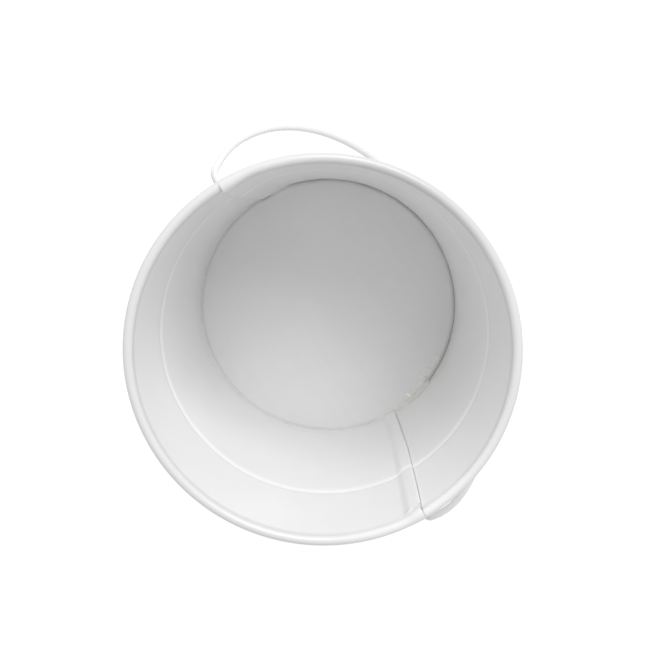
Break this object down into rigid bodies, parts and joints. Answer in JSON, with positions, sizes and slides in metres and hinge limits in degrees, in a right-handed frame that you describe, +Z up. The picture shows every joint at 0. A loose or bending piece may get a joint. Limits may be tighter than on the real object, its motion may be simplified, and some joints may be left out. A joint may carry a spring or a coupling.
{
  "type": "florist bucket",
  "caption": "Tapered sheet-steel flower pail with a wired rolled rim, a swage bead, a recessed base, lock seams, pressed ears and a swinging wire bail.",
  "frame": {"origin": "middle of the foot ring, on the surface that the pail stands on", "axes": "+Z up; +X along the pivot line towards the right ear; +Y towards the side where the bail hangs"},
  "size_m": [0.2744, 0.24, 0.1922],
  "materials": {
    "wall_enamel": "gloss white enamel",
    "base_enamel": "satin white enamel",
    "fitting_enamel": "gloss white enamel",
    "rim_steel": "drawn wire",
    "clear_sealant": "clear, slightly brown, glossy"
  },
  "bodies": {
    "pail": {"front_wall": "wall_enamel", "rear_wall": "wall_enamel", "base_disc": "base_enamel", "rim_wire": "rim_steel", "right_ear": "fitting_enamel", "left_ear": "fitting_enamel", "joint_sealant": "clear_sealant"},
    "bail": {"bail_handle": "fitting_enamel"}
  },
  "joints": [
    {"name": "bail_swing", "type": "hinge", "parent": "pail", "child": "bail", "pos_m": [0, 0, 0.1749], "axis": [1, 0, 0], "range_deg": [0, 295]}
  ]
}
